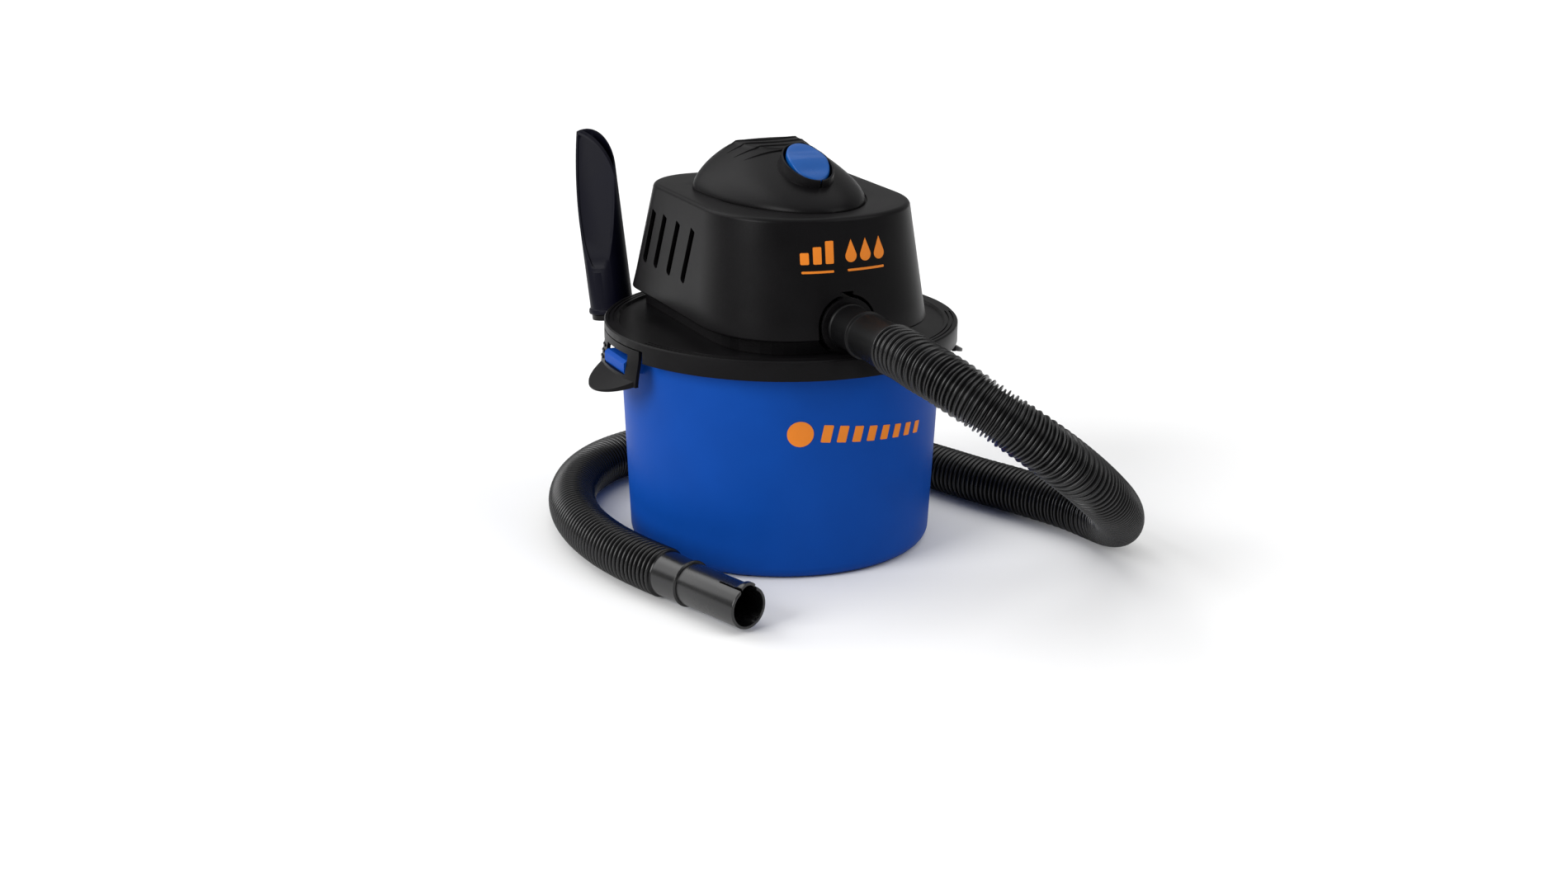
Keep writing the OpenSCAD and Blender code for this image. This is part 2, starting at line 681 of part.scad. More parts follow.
module port_cuff() color("#141414") difference() {
    union() {
        along_front(-86) cylinder(r = port_bore_r - spigot_gap, h = -86 - cuff_y);
        along_front(cuff_y) cylinder(r = 18.6, h = 4);
        along_front(cuff_y - 3) cylinder(r = 17.4, h = cuff_y - 3 - hose_y);
    }
    along_front(-80) cylinder(r = cuff_bore_r, h = 140);
}

module hose_tube() color("#1a1a1a") sweep(route, hose_r, 12);

module hose_cuff() color("#202123") difference() {
    union() {
        on_end(0) cylinder(r = 17, h = hose_cuff_len);
        on_end(hose_cuff_len - 5) cylinder(r = hose_r, h = 5);
    }
    on_end(-1) cylinder(r = cuff_bore_r, h = 60);
}

// Tube that tools push onto, with a springy lock tongue between two slots, shown pressed flush
module hose_fitting() color("#202123") difference() {
    on_end(hose_cuff_len) cylinder(r = fitting_r, h = fitting_len);
    on_end(0) cylinder(r = cuff_bore_r, h = 120);
    for (y = [-7, 5.5]) on_end(hose_cuff_len + fitting_len - 24) translate([-30, y, 0]) cube([30, 1.5, 30]);
}

tank();
lid();
lid_plinth();
tool_holder();
lid_gasket();
latch_left();
latch_right();
inlet_port();
inlet_deflector();
head_cover();
motor_cap();
switch_housing();
switch_rocker();
switch_terminals();
lead_wires();
cord_gland();
motor_seal_lower();
fan_housing();
impeller();
motor_bracket_lower();
motor_bracket_upper();
stator_stack();
field_coils();
armature_core();
armature_windings();
commutator();
motor_shaft();
bearing_lower();
bearing_upper();
brush_holders();
carbon_brushes();
cooling_fan();
motor_bolts();
head_screws();
cap_screws();
filter_cage();
cage_screws();
float_ball();
cloth_filter();
retaining_band();
crevice_tool();
port_cuff();
hose_tube();
hose_cuff();
hose_fitting();
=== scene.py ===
import json
import math

import bmesh
import bpy
from mathutils import Matrix, Vector
from mathutils.bvhtree import BVHTree


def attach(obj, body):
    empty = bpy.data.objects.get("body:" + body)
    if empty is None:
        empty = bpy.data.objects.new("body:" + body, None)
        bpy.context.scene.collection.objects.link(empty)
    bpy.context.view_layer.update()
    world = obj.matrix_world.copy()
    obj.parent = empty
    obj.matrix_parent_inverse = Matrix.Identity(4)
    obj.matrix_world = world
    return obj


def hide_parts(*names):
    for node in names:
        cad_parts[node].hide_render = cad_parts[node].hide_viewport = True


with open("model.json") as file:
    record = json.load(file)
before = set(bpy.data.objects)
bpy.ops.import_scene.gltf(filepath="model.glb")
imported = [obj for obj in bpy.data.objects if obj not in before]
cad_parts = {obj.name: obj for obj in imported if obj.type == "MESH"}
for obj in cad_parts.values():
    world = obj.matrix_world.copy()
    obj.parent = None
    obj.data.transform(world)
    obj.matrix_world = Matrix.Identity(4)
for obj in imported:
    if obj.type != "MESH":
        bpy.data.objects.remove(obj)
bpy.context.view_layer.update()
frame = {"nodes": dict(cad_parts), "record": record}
scene = bpy.context.scene
nodes = frame["nodes"]
MM = 0.001

# ---------------------------------------------------------------- camera

# Azimuth from the front, elevation and roll; lens in millimetres, distance and aim in metres
AZ, EL, ROLL = math.radians(-25), math.radians(17.269), math.radians(0.504)
LENS, DISTANCE = 52.36, 1.801
AIM_SIDE, AIM_HEIGHT = 0.003156, 0.072957
back = Vector((math.sin(AZ) * math.cos(EL), -math.cos(AZ) * math.cos(EL), math.sin(EL)))
level = Vector((math.cos(AZ), math.sin(AZ), 0))
upward = back.cross(level)
cam_x = level * math.cos(ROLL) + upward * math.sin(ROLL)
cam_y = upward * math.cos(ROLL) - level * math.sin(ROLL)
camera = bpy.data.objects.new("camera", bpy.data.cameras.new("camera"))
scene.collection.objects.link(camera)
camera.data.lens = LENS
camera.data.sensor_width = 36
place = Matrix((cam_x, cam_y, back)).transposed().to_4x4()
place.translation = level * AIM_SIDE + Vector((0, 0, AIM_HEIGHT)) + back * DISTANCE
camera.matrix_world = place
scene.camera = camera


# ---------------------------------------------------------------- mesh helpers

# Points closer than this, in metres, become one
MERGE = 2e-6


def circle(count):
    """Angles once round, evenly spaced from 0."""
    return [2 * math.pi * i / count for i in range(count)]


def sweep(first, last, steps):
    """Angles in radians from one angle in degrees to another, both included."""
    return [math.radians(first + (last - first) * k / steps) for k in range(steps + 1)]


def turned(degrees, axis):
    """Turn about an axis of the world by an angle in degrees."""
    return Matrix.Rotation(math.radians(degrees), 4, axis)


def add(name, verts, faces, smooth=30.0):
    """New mesh object with shading smooth up to an angle in degrees."""
    mesh = bpy.data.meshes.new(name)
    mesh.from_pydata([tuple(v) for v in verts], [], faces)
    obj = bpy.data.objects.new(name, mesh)
    scene.collection.objects.link(obj)
    tidy(obj, smooth)
    return obj


def tidy(obj, smooth=30.0):
    """Merges doubled points, turns the faces outwards and shades smooth up to an angle in degrees."""
    bm = bmesh.new()
    bm.from_mesh(obj.data)
    bmesh.ops.remove_doubles(bm, verts=bm.verts, dist=MERGE)
    bmesh.ops.recalc_face_normals(bm, faces=bm.faces)
    bm.to_mesh(obj.data)
    bm.free()
    obj.data.shade_smooth()
    obj.data.set_sharp_from_angle(angle=math.radians(smooth))
    obj.data.update()


def skin(name, rings, close_rings=False, cap=False, smooth=30.0):
    """Quads between rings of equal count; the first and last ring join when close_rings is set."""
    n, m = len(rings[0]), len(rings)
    verts = [p for ring in rings for p in ring]
    faces = []
    for k in range(m if close_rings else m - 1):
        a, b = k * n, ((k + 1) % m) * n
        for i in range(n):
            j = (i + 1) % n
            faces.append((a + i, a + j, b + j, b + i))
    if cap:
        faces.append(tuple(range(n))[::-1])
        faces.append(tuple((m - 1) * n + i for i in range(n)))
    return add(name, verts, faces, smooth)


def lathe(name, profile, matrix, sides=96, smooth=30.0):
    """Turns a closed outline of (radius, height) points in millimetres about local Z."""
    rings = []
    for radius, height in profile:
        r, z = max(radius, 1e-4) * MM, height * MM
        rings.append([matrix @ Vector((r * math.cos(a), r * math.sin(a), z)) for a in circle(sides)])
    return skin(name, rings, close_rings=True, smooth=smooth)


def rounded(points, radius, steps=4):
    """Rounds the corners of a closed outline of 2D points; a point may carry its own radius."""
    out = []
    n = len(points)
    for i in range(n):
        p = Vector(points[i][:2])
        r = points[i][2] if len(points[i]) > 2 else radius
        a, b = Vector(points[i - 1][:2]) - p, Vector(points[(i + 1) % n][:2]) - p
        if r <= 0 or a.length < 1e-6 or b.length < 1e-6:
            out.append(tuple(p))
            continue
        half = a.angle(b) / 2
        back_off = min(r / max(math.tan(half), 0.05), a.length * 0.49, b.length * 0.49)
        s, e = p + a.normalized() * back_off, p + b.normalized() * back_off
        for k in range(steps + 1):
            t = k / steps
            out.append(tuple((1 - t) ** 2 * s + 2 * t * (1 - t) * p + t * t * e))
    return out


def prism(name, outline, matrix, z0, z1):
    """Closed solid of an outline in millimetres between two heights."""
    rings = [[matrix @ Vector((x * MM, y * MM, z * MM)) for x, y in outline] for z in (z0, z1)]
    return skin(name, rings, cap=True)


def apply_all(obj):
    """Bakes an object's modifiers into its mesh."""
    graph = bpy.context.evaluated_depsgraph_get()
    baked = bpy.data.meshes.new_from_object(obj.evaluated_get(graph))
    obj.modifiers.clear()
    obj.data = baked


def combine(obj, others, operation):
    """Exact boolean of a closed piece with others, which are used up."""
    for other in others:
        change = obj.modifiers.new("combine", "BOOLEAN")
        change.operation = operation
        change.solver = "EXACT"
        change.object = other
    apply_all(obj)
    for other in others:
        bpy.data.objects.remove(other)


def cut(obj, cutters, smooth=30.0):
    """Takes the cutters away from a piece."""
    combine(obj, cutters, "DIFFERENCE")
    tidy(obj, smooth)


def join(obj, others):
    """Union with other pieces, taken in one at a time."""
    for other in others:
        combine(obj, [other], "UNION")
    tidy(obj, 28)


def soften(obj, name, width):
    """Bevels the sharp edges of an object with a modifier."""
    bevel = obj.modifiers.new(name, "BEVEL")
    bevel.width = width
    bevel.segments = 2
    bevel.limit_method = "ANGLE"
    bevel.angle_limit = math.radians(40)
    return bevel


def smooth_step(t):
    """Soft ramp from 0 to 1 as t goes from 0 to 1."""
    t = min(max(t, 0.0), 1.0)
    return t * t * (3 - 2 * t)


def curve_points(points, per=8):
    """Catmull-Rom curve through points."""
    p = [Vector(q) for q in points]
    p = [p[0] * 2 - p[1]] + p + [p[-1] * 2 - p[-2]]
    out = []
    for i in range(1, len(p) - 2):
        for k in range(per):
            t = k / per
            out.append(0.5 * ((2 * p[i]) + (p[i + 1] - p[i - 1]) * t
                              + (2 * p[i - 1] - 5 * p[i] + 4 * p[i + 1] - p[i + 2]) * t * t
                              + (3 * p[i] - p[i - 1] - 3 * p[i + 1] + p[i + 2]) * t ** 3))
    out.append(p[-2].copy())
    return out


def along_curve(line, steps):
    """Resamples a dense line at arc lengths, giving point, tangent, side and up without twist."""
    length = [0.0]
    for a, b in zip(line, line[1:]):
        length.append(length[-1] + (b - a).length)
    out, k = [], 0
    for s in steps:
        s = min(max(s, 0.0), length[-1])
        while k < len(line) - 2 and length[k + 1] < s:
            k += 1
        while k > 0 and length[k] > s:
            k -= 1
        f = (s - length[k]) / max(length[k + 1] - length[k], 1e-9)
        before = line[max(k - 1, 0)]
        after = line[min(k + 2, len(line) - 1)]
        t0 = (line[k + 1] - before).normalized()
        t1 = (after - line[k]).normalized()
        out.append((line[k].lerp(line[k + 1], f), t0.lerp(t1, f).normalized()))
    frames, up = [], Vector((0, 0, 1))
    for p, t in out:
        side = t.cross(up).normalized()
        up = side.cross(t).normalized()
        frames.append((p, t, side, up))
    return frames


def round_ring(spot, radius, sides):
    """Round ring of points about one spot of along_curve."""
    point, _, side, up = spot
    return [point + radius * (math.cos(a) * side + math.sin(a) * up) for a in circle(sides)]


# ---------------------------------------------------------------- materials

# Noise scales of the colour and of the wear, how far the roughness swings, and the grain's depth in metres
BROAD_SCALE, WEAR_SCALE = 22, 900
GLOSS_SPREAD, GRAIN_DEPTH = 0.06, 0.0002


def material(name, color, rough, grain=0.0, grain_size=0.0006, shade=0.12, streak=(1, 1, 1), metal=0.0,
             sheen=0.0, wear=0.0, spec=0.25):
    """Principled surface with object-space noise for colour, gloss, specks of wear and fine surface grain."""
    mat = bpy.data.materials.new(name)
    mat.use_nodes = True
    tree = mat.node_tree
    bsdf = tree.nodes["Principled BSDF"]
    new, link = tree.nodes.new, tree.links.new
    bsdf.inputs["Metallic"].default_value = metal
    bsdf.inputs["Specular IOR Level"].default_value = spec
    bsdf.inputs["Sheen Weight"].default_value = sheen
    coord = new("ShaderNodeTexCoord")
    stretch = new("ShaderNodeMapping")
    stretch.inputs["Scale"].default_value = streak
    link(coord.outputs["Object"], stretch.inputs["Vector"])
    broad = new("ShaderNodeTexNoise")
    broad.inputs["Scale"].default_value = BROAD_SCALE
    broad.inputs["Detail"].default_value = 5
    link(stretch.outputs["Vector"], broad.inputs["Vector"])
    tint = new("ShaderNodeValToRGB")
    dark = tuple(c * (1 - shade) for c in color)
    light = tuple(min(1.0, c * (1 + shade) + 0.002 * shade) for c in color)
    low, high = tint.color_ramp.elements
    low.position, high.position = 0.3, 0.72
    low.color, high.color = (*dark, 1), (*light, 1)
    link(broad.outputs["Fac"], tint.inputs["Fac"])
    surface = tint.outputs["Color"]
    if wear:
        fine = new("ShaderNodeTexNoise")
        fine.inputs["Scale"].default_value = WEAR_SCALE
        fine.inputs["Detail"].default_value = 3
        link(stretch.outputs["Vector"], fine.inputs["Vector"])
        worn = new("ShaderNodeMapRange")
        worn.inputs["From Min"].default_value = 0.55
        worn.inputs["From Max"].default_value = 0.8
        worn.inputs["To Max"].default_value = wear
        link(fine.outputs["Fac"], worn.inputs["Value"])
        mix = new("ShaderNodeMix")
        mix.data_type = "RGBA"
        mix.inputs["B"].default_value = (*[min(1.0, c * 2.4 + 0.02) for c in color], 1)
        link(worn.outputs["Result"], mix.inputs["Factor"])
        link(surface, mix.inputs["A"])
        surface = mix.outputs["Result"]
    link(surface, bsdf.inputs["Base Color"])
    gloss = new("ShaderNodeMapRange")
    gloss.inputs["To Min"].default_value = max(0.03, rough - GLOSS_SPREAD)
    gloss.inputs["To Max"].default_value = min(1.0, rough + GLOSS_SPREAD)
    link(broad.outputs["Fac"], gloss.inputs["Value"])
    link(gloss.outputs["Result"], bsdf.inputs["Roughness"])
    if grain:
        speck = new("ShaderNodeTexNoise")
        speck.inputs["Scale"].default_value = 1 / grain_size
        speck.inputs["Detail"].default_value = 2
        link(stretch.outputs["Vector"], speck.inputs["Vector"])
        bump = new("ShaderNodeBump")
        bump.inputs["Strength"].default_value = grain
        bump.inputs["Distance"].default_value = GRAIN_DEPTH
        link(speck.outputs["Fac"], bump.inputs["Height"])
        link(bump.outputs["Normal"], bsdf.inputs["Normal"])
    return mat


SURFACES = {
    "black_plastic": dict(color=(0.0038, 0.0035, 0.0039), rough=0.35, grain=0.22, grain_size=0.0009,
                          shade=0.25, wear=0.05, spec=0.075),
    "blue_plastic": dict(color=(0.003, 0.053, 0.3), rough=0.45, grain=0.05, grain_size=0.0016,
                         shade=0.05, spec=0.05),
    "switch_blue": dict(color=(0.003, 0.066, 0.27), rough=0.28, grain=0.05, grain_size=0.0012,
                        shade=0.05, spec=0.2),
    "seal_rubber": dict(color=(0.018, 0.018, 0.019), rough=0.75, grain=0.4, grain_size=0.0011,
                        shade=0.25),
    "brass": dict(color=(0.72, 0.5, 0.2), rough=0.32, grain=0.15, grain_size=0.0005,
                  shade=0.12, metal=1.0),
    "wire_red": dict(color=(0.42, 0.03, 0.02), rough=0.45, grain=0.1, grain_size=0.0008, shade=0.1),
    "zinc_steel": dict(color=(0.58, 0.6, 0.62), rough=0.35, grain=0.2, grain_size=0.0009, shade=0.12,
                       metal=1.0),
    "aluminium": dict(color=(0.74, 0.75, 0.77), rough=0.3, grain=0.15, grain_size=0.0007, shade=0.08,
                      streak=(1, 1, 9), metal=1.0),
    "cast_alloy": dict(color=(0.5, 0.51, 0.53), rough=0.5, grain=0.6, grain_size=0.0013, shade=0.15,
                       metal=1.0),
    "lamination_steel": dict(color=(0.3, 0.31, 0.33), rough=0.42, grain=0.7, grain_size=0.0009,
                             shade=0.2, streak=(0.05, 0.05, 1), metal=1.0),
    "copper_wire": dict(color=(0.62, 0.22, 0.08), rough=0.34, grain=0.9, grain_size=0.0009, shade=0.3,
                        streak=(0.15, 0.15, 1), metal=0.9),
    "shaft_steel": dict(color=(0.68, 0.69, 0.7), rough=0.2, grain=0.1, grain_size=0.0004, shade=0.06,
                        metal=1.0),
    "carbon": dict(color=(0.03, 0.03, 0.034), rough=0.6, grain=0.5, grain_size=0.0004, shade=0.25),
    "grey_plastic": dict(color=(0.03, 0.031, 0.034), rough=0.5, grain=0.3, grain_size=0.0009,
                         shade=0.15),
    "float_plastic": dict(color=(0.68, 0.68, 0.64), rough=0.5, grain=0.2, grain_size=0.0012, shade=0.06),
    "filter_cloth": dict(color=(0.03, 0.36, 0.85), rough=0.85, grain=0.6, grain_size=0.0007, shade=0.12,
                         sheen=0.3),
    "tool_plastic": dict(color=(0.0015, 0.0015, 0.006), rough=0.42, grain=0.05, grain_size=0.0011,
                         shade=0.18, spec=0.07),
    "cuff_plastic": dict(color=(0.003, 0.003, 0.0033), rough=0.27, grain=0.05, grain_size=0.0011,
                         shade=0.15, spec=0.5),
    # Darker, duller copy of the cuff plastic for the cuff at the port: its darker colour is painted shade
    "cuff_plastic_painted_shade": dict(color=(0.0022, 0.0022, 0.0025), rough=0.42, grain=0.05, grain_size=0.0011,
                         shade=0.15, spec=0.15),
    "orange_print": dict(color=(0.72, 0.2, 0.012), rough=0.5, grain=0.05, grain_size=0.001, shade=0.06),
    "hose_plastic": dict(color=(0.0026, 0.0026, 0.003), rough=0.27, grain=0, grain_size=0.0012,
                         shade=0.15, spec=0.42),
}
MATERIALS = {name: material(name, **look) for name, look in SURFACES.items()}
SLOTS = {s["node"]: s["material_slot"] for s in frame["record"]["subparts"]}


def finish_piece(obj, body, slot, *replaced):
    """Gives a piece its material and its body, and hides the CAD nodes that it stands for."""
    obj.data.materials.clear()
    obj.data.materials.append(MATERIALS[slot])
    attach(obj, body)
    if replaced:
        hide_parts(*replaced)
    return obj


# ---------------------------------------------------------------- hose

# Metres: the centreline's height on the floor, and its points, given as in the part: out of the port,
# down to the floor on the right, round behind the tank and forwards on the left
FLOOR_Z = 0.0193
ROUTE = [(0, -0.190, 0.194), (0, -0.208, 0.194), (0.001, -0.228, 0.192), (0.006, -0.250, 0.188),
         (0.018, -0.274, 0.178), (0.040, -0.292, 0.161), (0.068, -0.298, 0.140), (0.098, -0.289, 0.117),
         (0.128, -0.268, 0.094), (0.156, -0.240, 0.073), (0.181, -0.210, 0.053), (0.201, -0.180, 0.035),
         (0.213, -0.150, 0.0235), (0.216, -0.124, FLOOR_Z), (0.211, -0.096, FLOOR_Z),
         (0.202, -0.068, FLOOR_Z), (0.190, -0.036, FLOOR_Z), (0.177, -0.004, FLOOR_Z),
         (0.164, 0.034, FLOOR_Z), (0.148, 0.076, FLOOR_Z), (0.124, 0.116, FLOOR_Z),
         (0.090, 0.150, FLOOR_Z), (0.048, 0.174, FLOOR_Z), (0.002, 0.186, FLOOR_Z),
         (-0.044, 0.183, FLOOR_Z), (-0.084, 0.165, FLOOR_Z), (-0.116, 0.135, FLOOR_Z),
         (-0.139, 0.097, FLOOR_Z), (-0.153, 0.056, FLOOR_Z), (-0.159, 0.014, FLOOR_Z),
         (-0.158, -0.028, FLOOR_Z), (-0.152, -0.064, FLOOR_Z), (-0.145, -0.090, FLOOR_Z),
         (-0.1395, -0.108, FLOOR_Z)]
# Radii of the hose, pitch of its ridges near the port and after it, and the height of the low ones
RIDGE, VALLEY = 0.0189, 0.0152
NARROW_PITCH, WIDE_PITCH, LOW_CREST = 0.0031, 0.0047, 0.7
# Shares of the length: where the pitch starts to change, and over how much it does
NARROW_SHARE, CHANGE_SHARE = 0.25, 0.25
# One ridge: place along the pitch, height as a share of the crest
CREST = ((0.05, 0.65), (0.14, 0.92), (0.30, 1.0), (0.46, 0.92), (0.55, 0.65), (0.64, 0.0), (0.96, 0.0))
HOSE_SIDES = 40


def corrugation(length):
    """Places along the hose and its radii there.

    The ridges are narrow near the port, every second one low, and change to wide ones that are all alike.
    """
    places, radii, start, ridges = [0.0], [VALLEY], 0.0, 0
    while start < length:
        wide = smooth_step((start / length - NARROW_SHARE) / CHANGE_SHARE)
        pitch = NARROW_PITCH + (WIDE_PITCH - NARROW_PITCH) * wide
        crest = 1.0 if ridges % 2 == 0 else LOW_CREST + (1 - LOW_CREST) * wide
        for share, height in CREST:
            if start + share * pitch < length:
                places.append(start + share * pitch)
                radii.append(VALLEY + (RIDGE - VALLEY) * height * crest)
        start += pitch
        ridges += 1
    return places + [length], radii + [VALLEY]


hose_line = curve_points(ROUTE, 10)
places, hose_radii = corrugation(sum((b - a).length for a, b in zip(hose_line, hose_line[1:])))
spots = along_curve(hose_line, places)
hose = skin("hose", [round_ring(spot, r, HOSE_SIDES) for spot, r in zip(spots, hose_radii)], smooth=180)
finish_piece(hose, "lid", "hose_plastic", "hose_tube")

# ---------------------------------------------------------------- tank's sizes

# Millimetres: radius and rounding of the foot, the floor, the wall's height and how far it leans out
FOOT_R, FOOT_ROUND, FLOOR_THICK, WALL_H, DRAFT = 118, 10, 2.5, 150, 7

# ---------------------------------------------------------------- head cover

# Millimetres: the head's foot, deck and wall, where its round front starts, and the cap's height and middle
HEAD_Z, DECK_Z, SHELL, ROUND_Y, CAP_H, CAP_Y = 184.0, 273.0, 2.5, -33, 35.5, 25.0


def power(c, n):
    """Superellipse coordinate: the sign of c with its size to the power 2/n."""
    return math.copysign(abs(c) ** (2 / n), c)


def head_taper(z):
    """Half-width, extra width on the right, front reach and roundness of the head at a height."""
    t = (z - HEAD_Z) / (DECK_Z - HEAD_Z)
    return 86 - 7 * t, 7 - 4 * t, 85 - 10 * t, 2.5 - 0.35 * t


def head_plan(z, inset):
    """Plan of the head at a height: round front, straight sides, round rear corners, wider on the right."""
    t = (z - HEAD_Z) / (DECK_Z - HEAD_Z)
    half, skew, reach, roundness = head_taper(z)
    half -= inset
    reach -= inset
    rear = 112 - 14 * t - inset
    corner = max(20 + 20 * t - inset / 2, 1)
    out = []
    for a in sweep(180, 360, 96):
        across = power(math.cos(a), roundness)
        x = (half + skew * smooth_step(across * 4)) * across
        out.append((x, ROUND_Y + reach * power(math.sin(a), roundness)))
    for x, start in ((half + skew - corner, 0), (-half + corner, 90)):
        for a in sweep(start, start + 90, 16):
            out.append((x + corner * math.cos(a), rear - corner + corner * math.sin(a)))
    return out


def head_front(x, z):
    """Y of the head's front wall at a sideways place and height, in millimetres."""
    half, skew, reach, n = head_taper(z)
    if x > 0:
        half += skew
    return ROUND_Y - reach * (1 - min(abs(x) / half, 1.0) ** n) ** (1 / n)


def cap_reach(h):
    """Half-width, rear and front reach of the motor cap from its middle at a height share."""
    half = 26 + 35 * (1 - h ** 1.67) ** 1.18
    rear = 6 + 39 * (1 - h ** 3) ** 0.85
    front = 40 + 74 * (1 - h ** 1.68) ** 1.27
    return half, rear, front


def cap_point(angle, h, inset=0.0):
    """Point of the cap's plan at an angle and a height share."""
    w, rear, front = (v - inset for v in cap_reach(h))
    return w * math.cos(angle), CAP_Y + 5 * h + (rear if math.sin(angle) > 0 else front) * math.sin(angle)


def cap_outline_towards(x, y, inset):
    """Point of the cap's base outline, moved in by inset, in the direction of (x, y)."""
    w, rear, front = (v - inset for v in cap_reach(0.0))
    y -= CAP_Y
    b = rear if y > 0 else front
    k = 1 / math.hypot(x / w, y / b)
    return x * k, CAP_Y + y * k


def lift(points, z):
    """Plan points in millimetres at a height."""
    return [Vector((x * MM, y * MM, z * MM)) for x, y in points]


def head_cover():
    """Hollow head shell with vents, the arch over the port and the cord's hole."""
    rings = [lift(head_plan(HEAD_Z, SHELL), HEAD_Z)]
    foot = 2.2
    for a in sweep(90, 0, 6):
        rings.append(lift(head_plan(HEAD_Z, foot * (1 - math.cos(a))), HEAD_Z + foot * (1 - math.sin(a))))
    for z in (200, 222, 246):
        rings.append(lift(head_plan(z, 0), z))
    fillet = 3.2
    for a in sweep(0, 90, 7):
        z = DECK_Z - fillet + fillet * math.sin(a)
        rings.append(lift(head_plan(z, fillet * (1 - math.cos(a))), z))
    edge = head_plan(DECK_Z, fillet)
    groove = [cap_outline_towards(x, y, -1.4) for x, y in edge]
    for t in (0.35, 0.7, 0.94):
        deck = [(x + (gx - x) * t, y + (gy - y) * t) for (x, y), (gx, gy) in zip(edge, groove)]
        rings.append(lift(deck, DECK_Z))
    for inset, depth in ((-1.4, 0.3), (-0.9, 1.3), (0.4, 1.6), (12, 1.6), (12, SHELL + 1)):
        rings.append(lift([cap_outline_towards(x, y, inset) for x, y in edge], DECK_Z - depth))
    rings.append(lift(head_plan(DECK_Z - SHELL - 1, SHELL + 2), DECK_Z - SHELL - 1))
    rings.append(lift(head_plan(DECK_Z - SHELL - 3, SHELL), DECK_Z - SHELL - 3))
    obj = skin("head_shell", rings, close_rings=True)
    cutters = []
    vent = rounded([(-4, 22.5, 1.2), (4, 22.5, 1.2), (4, -22.5, 3.4), (-4, -22.5, 3.4)], 1.0, 5)
    for side in (-1, 1):
        for y in (68, 46, 19.5, -9):
            lean = Matrix.Translation((side * 82 * MM, y * MM, 0.231)) @ turned(18, "X")
            cutters.append(prism("slot", vent, lean @ turned(90, "Y") @ turned(90, "Z"), -16, 16))
    port_r, key_half, key_top, cord_r = 23.4, 5, 25.4, 7.2
    front = Matrix.Translation((0, -0.070, 0.194)) @ turned(90, "X")
    arch = [(port_r * math.cos(a), port_r * math.sin(a)) for a in sweep(0, 180, 30)]
    cutters.append(prism("arch", arch + [(-port_r, -20), (port_r, -20)], front, 0, 70))
    key = rounded([(-key_half, 15), (key_half, 15), (key_half, key_top), (-key_half, key_top)], 1.0)
    cutters.append(prism("arch_key", key, front, 0, 70))
    rear = Matrix.Translation((0, 0.130, 0.204)) @ turned(90, "X")
    inlet = [(cord_r * math.cos(a), cord_r * math.sin(a)) for a in circle(48)]
    cutters.append(prism("inlet", inlet, rear, 0, 40))
    cut(obj, cutters, 28)
    return finish_piece(obj, "lid", "black_plastic", "head_cover")


# Switch frame: local Z out of the switch; half-width and half-length of its oval in millimetres
SWITCH = Matrix.Translation((0, -0.045, 0.3025)) @ turned(22.6, "X")
SWITCH_W, SWITCH_L = 16.5, 24.2


def switch_ring(grow, z, sides=96):
    """Oval around the switch's axis, as points in metres."""
    across, along = (SWITCH_W + grow) * MM, (SWITCH_L + grow) * MM
    return [SWITCH @ Vector((across * math.cos(a), along * math.sin(a), z * MM)) for a in circle(sides)]


def motor_cap():
    """Dome with a softened crown and an oval hole for the switch."""
    angles = circle(180)
    rings = [lift([cap_point(a, 0, inset) for a in angles], DECK_Z - 1.5) for inset in (3, 0.2)]
    for h in [k / 36 for k in range(34)] + [0.95, 0.967, 0.982, 0.993, 1.0]:
        rings.append(lift([cap_point(a, h) for a in angles], DECK_Z + h * CAP_H))
    rim = [cap_point(a, 1.0) for a in angles]
    middle, inner = CAP_Y + 5, 14
    for k in range(1, inner):
        t = 1 - k / inner
        rings.append(lift([(x * t, middle + (y - middle) * t) for x, y in rim], DECK_Z + CAP_H))
    obj = skin("cap_shell", rings, cap=True)
    bm = bmesh.new()
    bm.from_mesh(obj.data)
    crown = [v for v in bm.verts if v.co.z > (DECK_Z + CAP_H * 0.8) * MM]
    for _ in range(30):
        bmesh.ops.smooth_vert(bm, verts=crown, factor=0.5,
                              use_axis_x=False, use_axis_y=False, use_axis_z=True)
    bm.to_mesh(obj.data)
    bm.free()
    local = [SWITCH.inverted() @ p for p in switch_ring(1.2, 0, 72)]
    cut(obj, [prism("hole", [(p.x / MM, p.y / MM) for p in local], SWITCH, -17, 30)], 28)
    return finish_piece(obj, "lid", "black_plastic", "motor_cap")


def switch_collar():
    """Oval cup standing proud of the cap, flaring into it, with a slit at its lower edge."""
    profile = [(-1, -12), (0.45, -8), (0.45, -0.4), (0.6, 0.3), (1.0, 0.62), (1.5, 0.62), (1.9, 0.35),
               (2.1, -0.1), (2.6, -5.5), (3.0, -8), (3.8, -10), (4.2, -12), (3.0, -14), (-1, -14)]
    obj = skin("switch_collar", [switch_ring(d, z) for d, z in profile], close_rings=True)
    slit = rounded([(-0.7, -30), (0.7, -30), (0.7, -22), (-0.7, -22)], 0.3)
    cut(obj, [prism("slit", slit, SWITCH, -5.5, 8)])
    return finish_piece(obj, "lid", "black_plastic", "switch_housing")


